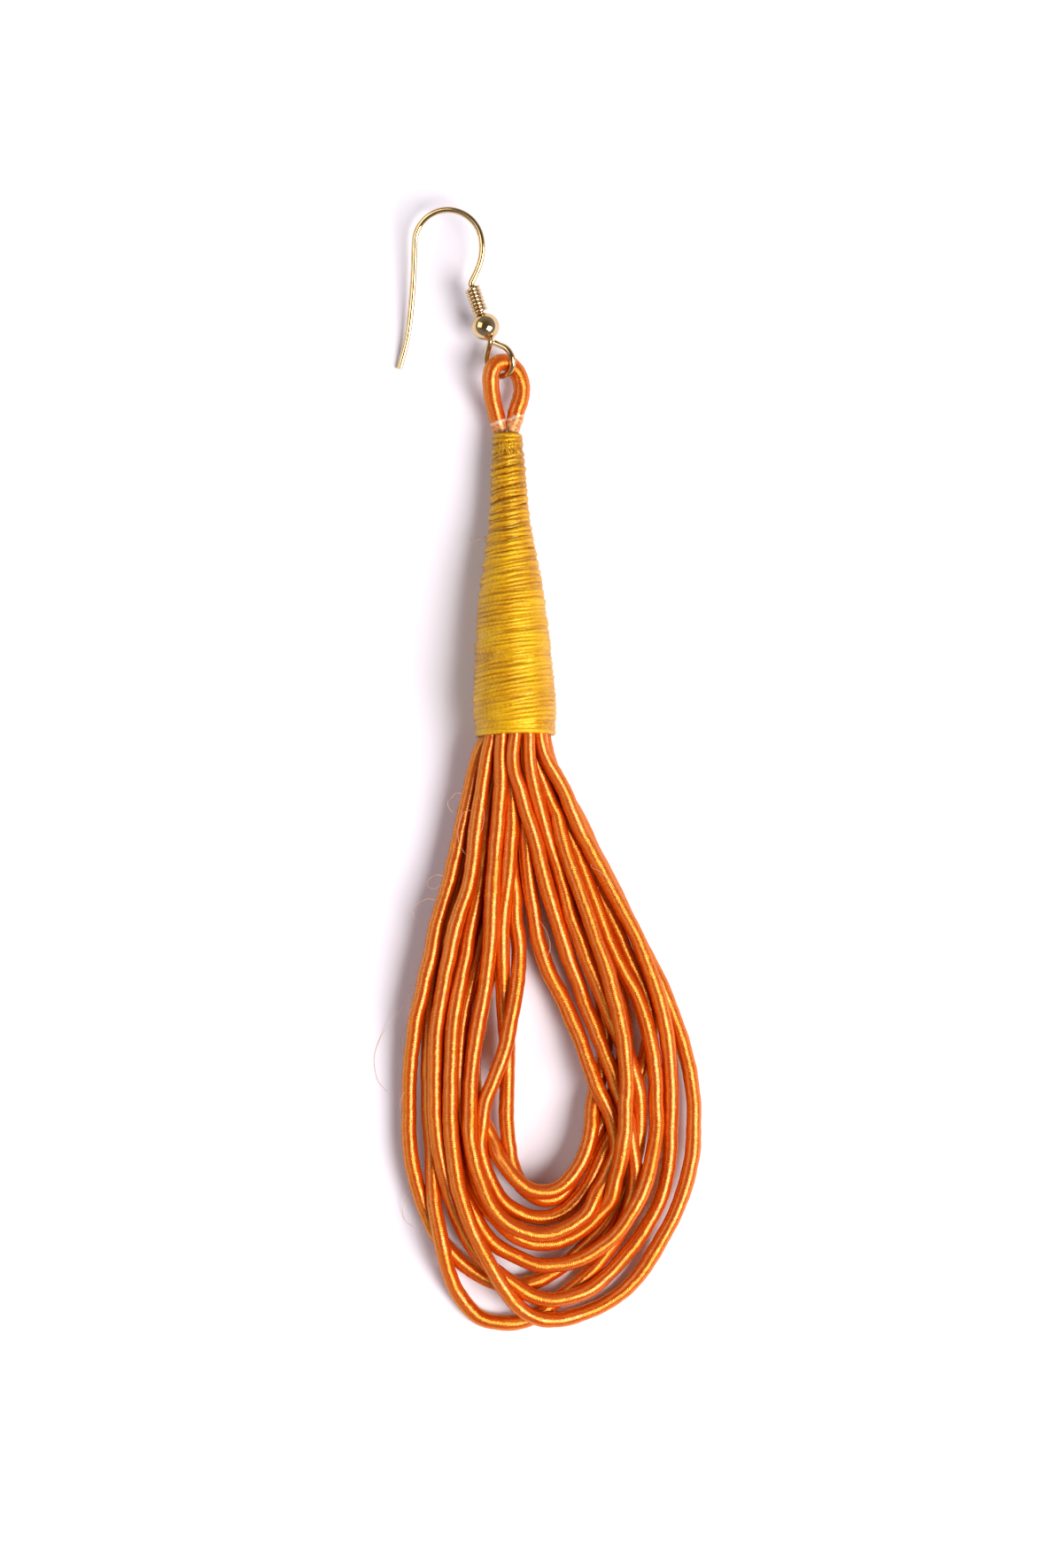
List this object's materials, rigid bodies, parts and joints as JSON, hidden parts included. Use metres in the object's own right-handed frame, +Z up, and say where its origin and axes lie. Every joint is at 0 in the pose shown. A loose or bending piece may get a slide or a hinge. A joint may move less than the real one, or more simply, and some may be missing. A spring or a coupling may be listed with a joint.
{
  "type": "tassel drop earring",
  "caption": "Drop earring with a plain gold ear hook, coil and ball, a cord eye, a yellow thread-wound neck and a tassel of loose orange satin cord loops.",
  "frame": {"origin": "middle of the base of the wire and neck, on the surface it lies on", "axes": "X across the earring, Y along it towards the hook, Z up from the surface"},
  "size_m": [0.0345, 0.1267, 0.0094],
  "materials": {
    "gold": "polished gold colour",
    "satin_cord": "satin, fine wound thread",
    "yellow_thread": "matt wound cotton thread"
  },
  "bodies": {
    "root": {"ear_hook": "gold", "hook_coil": "gold", "hook_ball": "gold", "eye_cord": "satin_cord", "thread_wrap": "yellow_thread", "bound_core": "satin_cord", "cord_loop_01": "satin_cord", "cord_loop_02": "satin_cord", "cord_loop_03": "satin_cord", "cord_loop_04": "satin_cord", "cord_loop_05": "satin_cord", "cord_loop_06": "satin_cord", "cord_loop_07": "satin_cord", "cord_loop_08": "satin_cord", "cord_loop_09": "satin_cord", "cord_loop_10": "satin_cord"}
  },
  "joints": []
}
